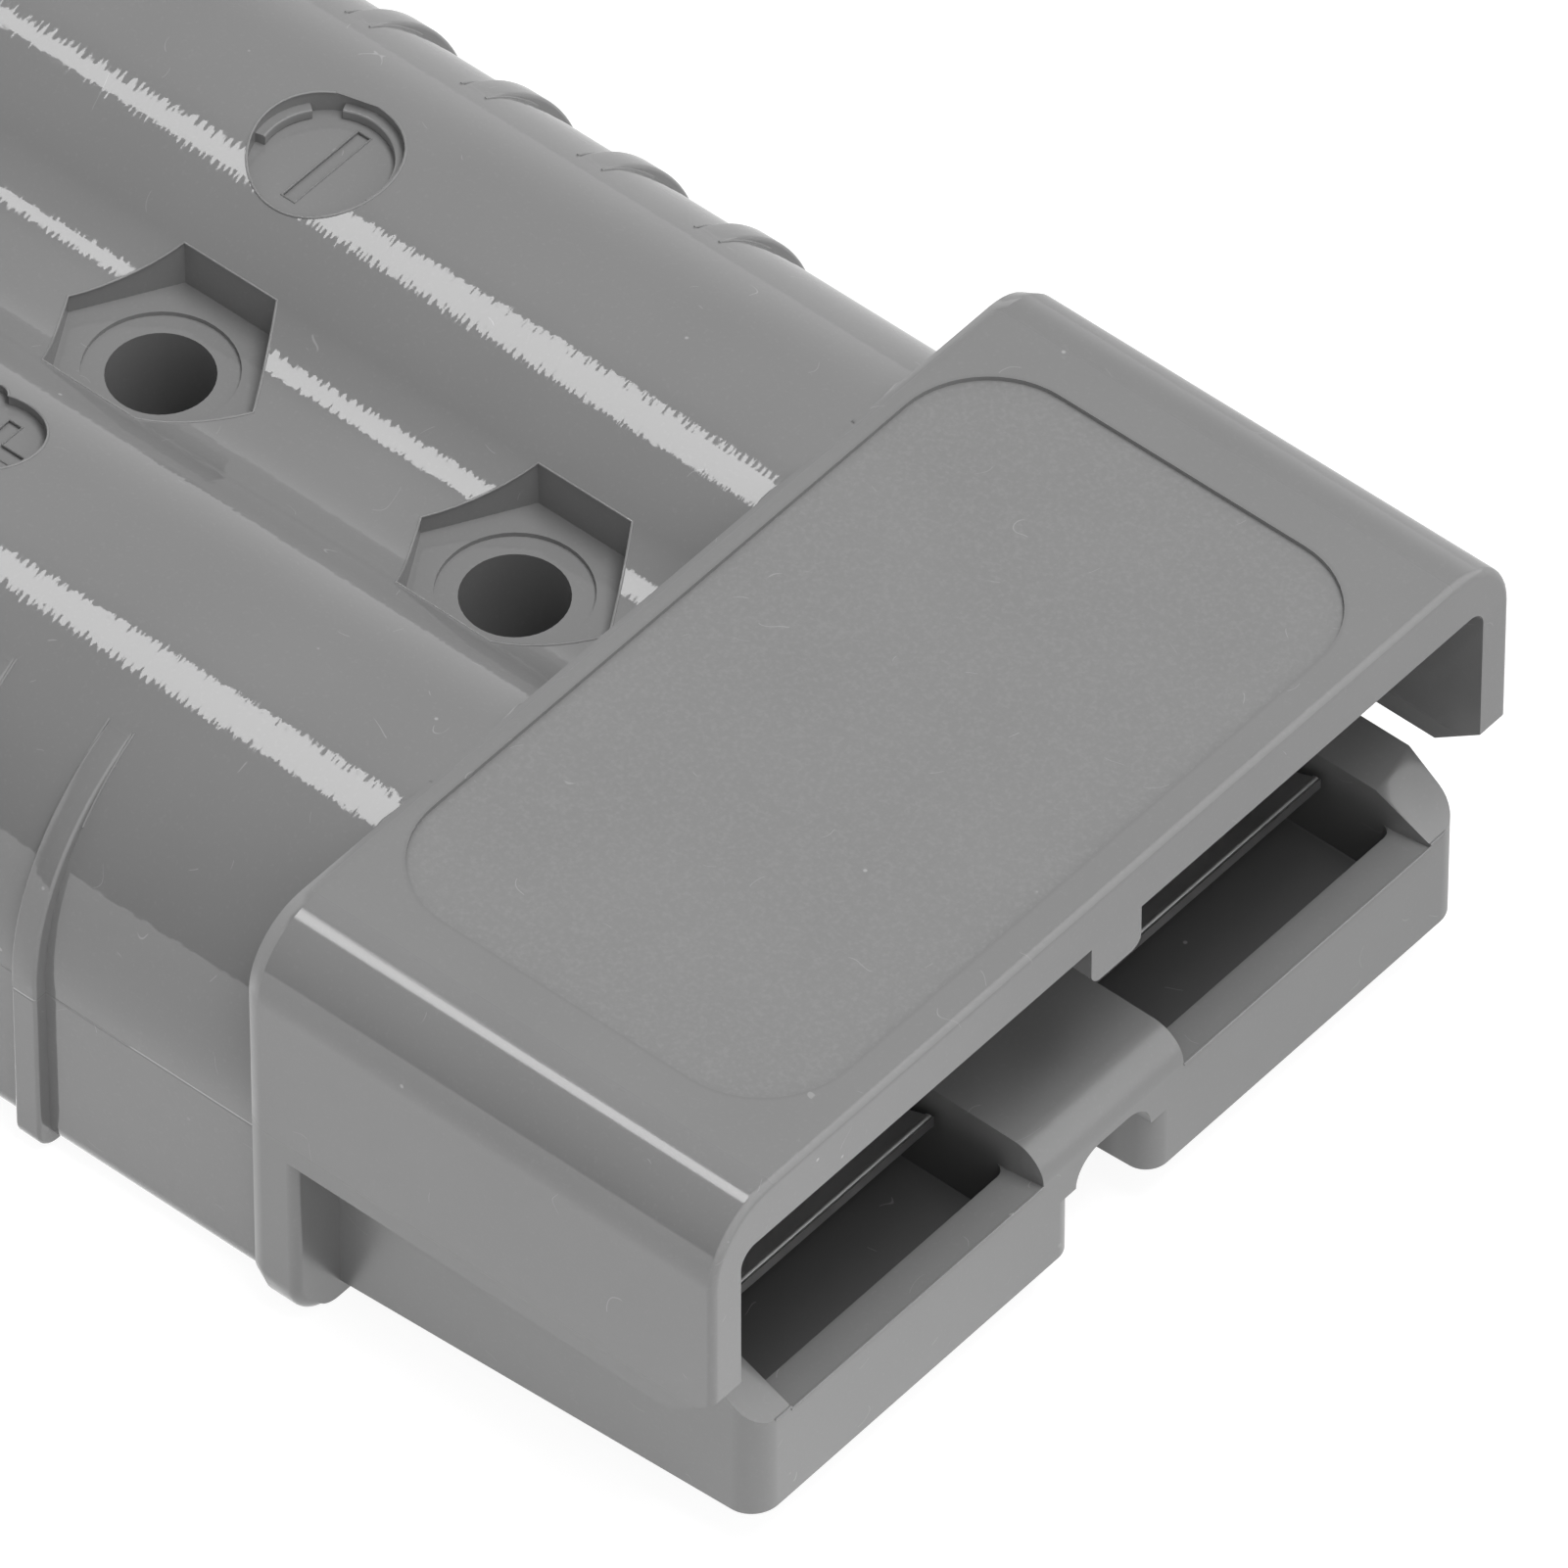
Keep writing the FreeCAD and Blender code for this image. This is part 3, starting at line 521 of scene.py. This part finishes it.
def grip_ribs(material):
    """A plain mesh of all ten grip ribs."""
    half = RIB_HEIGHT / 2
    foot = arc((RIB_OUTER - RIB_FOOT, BASE + RIB_FOOT + 0.02), RIB_FOOT - half, -90, 0, 8)
    crest = arc((RIB_OUTER - RIB_ARC, 0.0), RIB_ARC - half, 0, RIB_ARC_DEGREES, 48)
    line = [(RIB_OUTER - half - RIB_UNDER, foot[0][1])] + foot + crest
    points = [(0.0, side * across, up) for side in (1, -1) for across, up in line]
    edges = joined_up(len(line)) + joined_up(len(line), len(line))
    return swept("grip_ribs", bar_section, points, edges, Width=RIB_WIDTH, Height=RIB_HEIGHT, Rounding=RIB_ROUND,
                 First=RIB_FIRST, Pitch=RIB_PITCH, Count=RIB_COUNT, Material=material)


def is_rim(edge):
    """Whether an edge is a mark's rim, the tongue's front edge, or a pocket's rim in the barrels or the valley."""
    if len(edge.link_faces) != 2 or edge.calc_face_angle_signed(0.0) < math.radians(RIM_DEGREES):
        return False
    normals = [face.normal for face in edge.link_faces]
    middle = (edge.verts[0].co + edge.verts[1].co) / 2
    if abs(middle.z - MARK_FLOOR) < 0.01 and RIM_REAR < middle.x < MARK_FRONT:
        return True
    if max(normal.x for normal in normals) > 0.99 and middle.x > -0.05 and middle.z < TONGUE_TOP:
        return max(normal.z for normal in normals) > 0.3
    if middle.z < RIM_LOWEST or not RIM_REAR < middle.x < RIM_FRONT:
        return False
    return any(long_round_normal(middle, normal) is not None for normal in normals)


def rim_beads(work, material):
    """Fine round beads that soften the rims."""
    rims = [edge for edge in work.edges if is_rim(edge)]
    corners = {vert: None for edge in rims for vert in edge.verts}
    order = {vert: number for number, vert in enumerate(corners)}
    return swept("rim_beads", bead_section, [tuple(vert.co) for vert in corners],
                 [tuple(order[vert] for vert in edge.verts) for edge in rims], Rounding=RIM_BEAD, Material=material)


def close_notch(point):
    """Where a corner of the notch in the minus mark's rim goes to make it a full circle. None for other corners."""
    middle = Vector((MARK_ALONG, MARK_SIDE))
    turn = math.radians(NOTCH_TURN)
    notch = middle + Vector((math.cos(turn), math.sin(turn))) * MARK_RADIUS
    away = point.xy - middle
    if (point.xy - notch).length > NOTCH_REACH or away.length < MARK_RADIUS + 0.01 or point.z < MARK_FLOOR - 0.1:
        return None
    rim = middle + away.normalized() * MARK_RADIUS
    if point.z < MARK_FLOOR + 0.01:
        return Vector((rim.x, rim.y, point.z))
    return Vector((rim.x, rim.y, math.sqrt(BARREL_RADIUS ** 2 - (abs(rim.y) - BARREL_AXIS) ** 2)))


def recess_ledge(material):
    """The ledge inside the minus mark's recess, with its gap."""
    points = []
    edges = []
    for start, end in LEDGE_TURNS:
        line = arc((MARK_ALONG, MARK_SIDE), MARK_RADIUS - LEDGE_WIDTH / 2 + 0.08, start, end, 24)
        edges += joined_up(len(line), len(points))
        points += [(along, side, MARK_FLOOR + LEDGE_WIDTH / 2 - 0.02) for along, side in line]
    return swept("recess_ledge", bar_section, points, edges, Width=LEDGE_WIDTH, Height=LEDGE_WIDTH,
                 Rounding=LEDGE_ROUND, Material=material)


def sink_rib(point):
    """Where a corner of a square CAD rib goes: just under the barrel's surface. None when it isn't on a rib."""
    along = min(abs(point.x - RIB_FIRST - RIB_PITCH * number) for number in range(RIB_COUNT))
    if along > RIB_WIDTH / 2 + 0.01:
        return None
    side = 1 if point.y > 0 else -1
    corner_up = BASE + BASE_CORNER
    if point.z > 0:
        middle, radius = Vector((point.x, side * BARREL_AXIS, 0.0)), BARREL_RADIUS
    else:
        corner = Vector((point.x, side * (BARREL_SIDE - BASE_CORNER), max(point.z, corner_up)))
        middle, radius = corner, BASE_CORNER
    away = point - middle
    if away.y * side < 0 or away.length < radius + 0.01:
        return None
    return middle + away.normalized() * (radius - RIB_SINK)


def closed_sweep(work, paths, profile):
    """A closed bar along each path. profile gives the ring of points (x, outward) at a place."""
    made = []
    for path in paths:
        rings = []
        for (across, up), (out_across, out_up) in path:
            rings.append([work.verts.new((along, across + out_across * lift, up + out_up * lift))
                          for along, lift in profile(up, out_up)])
        for first, second in zip(rings, rings[1:]):
            for number in range(len(first)):
                after = (number + 1) % len(first)
                made.append(work.faces.new((first[number], first[after], second[after], second[number])))
        made.append(work.faces.new(rings[0]))
        made.append(work.faces.new(list(reversed(rings[-1]))))
    bmesh.ops.recalc_face_normals(work, faces=made)


def outward(points, middle, turn):
    """The points with their directions away from the middle, scaled by turn."""
    return [(point, ((point[0] - middle[0]) * turn, (point[1] - middle[1]) * turn)) for point in points]


def root_profile(up, out_up):
    """The hollow quarter round between barrel and collar, smaller where the collar ends above it."""
    room = (HOOD_TOP - COLLAR_EDGE - up) / max(out_up, 0.2)
    radius = max(min(ROOT_RADIUS, room), 0.002)
    turns = [math.radians(-6 + 16 * number) for number in range(7)]
    ring = [(COLLAR_REAR - radius + radius * math.sin(turn), radius * (1 - math.cos(turn)) - 0.004)
            for turn in turns]
    inside = COLLAR_REAR + ROOT_DEPTH
    return ring + [(inside, ring[-1][1]), (inside, -ROOT_DEPTH), (ring[0][0], -ROOT_DEPTH)]


def fill_barrel_roots(work):
    """Small hollow roundings where the barrels meet the collar."""
    meet = math.degrees(math.atan2(VALLEY_UP, -BARREL_AXIS))
    dip = math.degrees(math.atan2(-VALLEY_UP, BARREL_AXIS))
    barrel_middle = (BARREL_AXIS, 0.0)
    valley_middle = (0.0, VALLEY_UP)
    barrel = outward(arc(barrel_middle, BARREL_RADIUS, 2, meet - 2, 60), barrel_middle, 1 / BARREL_RADIUS)
    other = [((-point[0], point[1]), (-out[0], out[1])) for point, out in barrel]
    valley = outward(arc(valley_middle, VALLEY_RADIUS, dip - 2, -180 - dip + 2, 24), valley_middle,
                     -1 / VALLEY_RADIUS)
    closed_sweep(work, (barrel, other, valley), root_profile)


def finish_spring(work, material):
    """A rolled front edge on a contact spring."""
    front = max(vert.co.x for vert in work.verts)
    along = front - SPRING_LIP / 2
    edge = [vert.co for vert in work.verts if vert.co.x > along]
    low, high = min(point.y for point in edge), max(point.y for point in edge)
    up = sum(point.z for point in edge) / len(edge)
    work.from_mesh(swept("spring_lip", bar_section, [(along, low, up), (along, high, up)], joined_up(2),
                         Width=SPRING_LIP, Height=SPRING_LIP, Rounding=SPRING_LIP * 0.5, Material=material))


def finish_housing(work, material):
    """Round-edged grip ribs in place of the square ones, beaded rims, and soft roots of the barrels."""
    facing = {face: face.normal.copy() for face in work.faces}
    for vert in work.verts:
        vert.co = sink_rib(vert.co) or close_notch(vert.co) or vert.co
    work.normal_update()
    folded = [face for face, normal in facing.items() if normal.z > 0.5 and face.normal.dot(normal) < 0.9]
    bmesh.ops.delete(work, geom=folded, context="FACES_ONLY")
    before = set(work.faces)
    beads = rim_beads(work, material)
    work.from_mesh(grip_ribs(material))
    work.from_mesh(beads)
    work.from_mesh(recess_ledge(material))
    bmesh.ops.recalc_face_normals(work, faces=[face for face in work.faces if face not in before])
    fill_barrel_roots(work)


def make_camera():
    azimuth = math.radians(CAMERA_AZIMUTH)
    elevation = math.radians(CAMERA_ELEVATION)
    right = (math.cos(azimuth), math.sin(azimuth), 0.0)
    back = (math.sin(azimuth) * math.cos(elevation), -math.cos(azimuth) * math.cos(elevation), math.sin(elevation))
    up = (-math.sin(azimuth) * math.sin(elevation), math.cos(azimuth) * math.sin(elevation), math.cos(elevation))
    turn = Matrix((right, up, back)).transposed().to_4x4()
    lens = bpy.data.cameras.new("camera")
    lens.sensor_width = SENSOR_MM
    lens.lens = FOCAL_PIXELS / IMAGE_PIXELS * SENSOR_MM
    lens.clip_end = CAMERA_SEES_TO
    camera = bpy.data.objects.new("camera", lens)
    camera.matrix_world = Matrix.Translation([value * MM for value in CAMERA_MM]) @ turn
    bpy.context.scene.collection.objects.link(camera)
    bpy.context.scene.camera = camera


def stage_sheet(name, corners, material):
    """A flat sheet of the studio, which is no piece of the part."""
    mesh = bpy.data.meshes.new(name)
    mesh.from_pydata(corners, [], [tuple(range(len(corners)))])
    mesh.materials.append(material)
    sheet = bpy.data.objects.new(name, mesh)
    bpy.context.scene.collection.objects.link(sheet)
    return sheet


def glow(shader, colour, strength=1.0):
    return shader.node("ShaderNodeEmission", values={"Color": colour, "Strength": strength})


def make_floor():
    """A white floor, which is plain white to the camera except in the object's shadow."""
    material = bpy.data.materials.new("white_floor")
    shader = Shader(material)
    path = shader.node("ShaderNodeLightPath")
    paper = shader.node("ShaderNodeBsdfDiffuse", values={"Color": grey(0.8)})
    faint = shader.node("ShaderNodeBsdfDiffuse", values={"Color": grey(0.25)})
    lit = shader.node("ShaderNodeAddShader", values={0: faint, 1: glow(shader, grey(1.0), 0.9)})
    across = shader.split(shader.place())[1]
    bright = glow(shader, shader.mixed(across.rises(-FLOOR_FADE_MM, FLOOR_FADE_MM), grey(1.5), grey(0.8)))
    shown = shader.node("ShaderNodeMixShader", values={0: path.sibling("Is Camera Ray"), 1: paper, 2: lit})
    shown = shader.node("ShaderNodeMixShader", values={0: path.sibling("Is Glossy Ray"), 1: shown, 2: bright})
    shader.node("ShaderNodeOutputMaterial", values={"Surface": shown})
    level = BASE * MM - FLOOR_GAP
    stage_sheet("floor", [(x * FLOOR_REACH, y * FLOOR_REACH, level) for x, y in ((-1, -1), (1, -1), (1, 1), (-1, 1))],
                material)


def make_world():
    """White to the camera. To reflections, dark on the near side, and pale over the horizon on the far side."""
    world = bpy.data.worlds.new("studio")
    bpy.context.scene.world = world
    shader = Shader(world)
    path = shader.node("ShaderNodeLightPath")
    x, y, height = shader.split(shader.node("ShaderNodeTexCoord", output="Generated"))
    far_wall = shader.mixed(height.rises(0.0, 0.6), grey(1.1), grey(0.45))
    walls = shader.mixed(y.rises(0.0, 0.25), grey(0.06), far_wall)
    walls = shader.mixed(x.rises(-0.55, -0.65) * height.rises(0.6, 0.4), walls, grey(1.5))
    walls = shader.mixed(x.rises(-0.05, 0.1), walls, grey(1.8))
    colour = shader.mixed(path.sibling("Is Glossy Ray"), grey(AMBIENT), walls)
    colour = shader.mixed(path.sibling("Is Camera Ray"), colour, grey(1.0))
    light = shader.node("ShaderNodeBackground", values={"Color": colour, "Strength": 1.0})
    shader.node("ShaderNodeOutputWorld", values={"Surface": light})


def make_softbox(name, place, aim, width, length, radiance):
    """A rectangular lamp that faces a point and isn't mirrored by the part."""
    lamp = bpy.data.lights.new(name, "AREA")
    lamp.shape = "RECTANGLE"
    lamp.size = width
    lamp.size_y = length
    lamp.energy = radiance * math.pi * width * length
    box = bpy.data.objects.new(name, lamp)
    bpy.context.scene.collection.objects.link(box)
    turn = (Vector(place) - Vector(aim)).to_track_quat("Z", "Y").to_matrix().to_4x4()
    box.matrix_world = Matrix.Translation(place) @ turn
    box.visible_glossy = False


def make_lamp_outline():
    """A glowing sheet that only reflections see."""
    material = bpy.data.materials.new("lamp_glow")
    shader = Shader(material)
    shader.node("ShaderNodeOutputMaterial", values={"Surface": glow(shader, grey(1.0), LAMP_RADIANCE)})
    sheet = stage_sheet("lamp_outline", [(x, y, LAMP_HEIGHT) for x, y in LAMP_OUTLINE], material)
    sheet.visible_camera = False
    sheet.visible_diffuse = False
    sheet.visible_transmission = False
    sheet.visible_shadow = False


finished_copy("housing_finished", "housing", housing_plastic(), HOUSING_STRIP, finish_housing)
steel = spring_steel()
for node in ("left_spring", "right_spring"):
    finished_copy(node + "_finished", node, steel, SPRING_STRIP, finish_spring)

make_floor()
make_world()
make_camera()
make_lamp_outline()
make_softbox("overhead_strip", (0.27, 0.16, LAMP_HEIGHT), (-0.04, 0.0, 0.0), 0.9, 0.44, STRIP_RADIANCE)
make_softbox("front_fill", (1.05, -0.3, 0.65), (0.0, 0.0, 0.0), 2.0, 1.5, FILL_RADIANCE)
bpy.context.scene.view_settings.view_transform = "Standard"
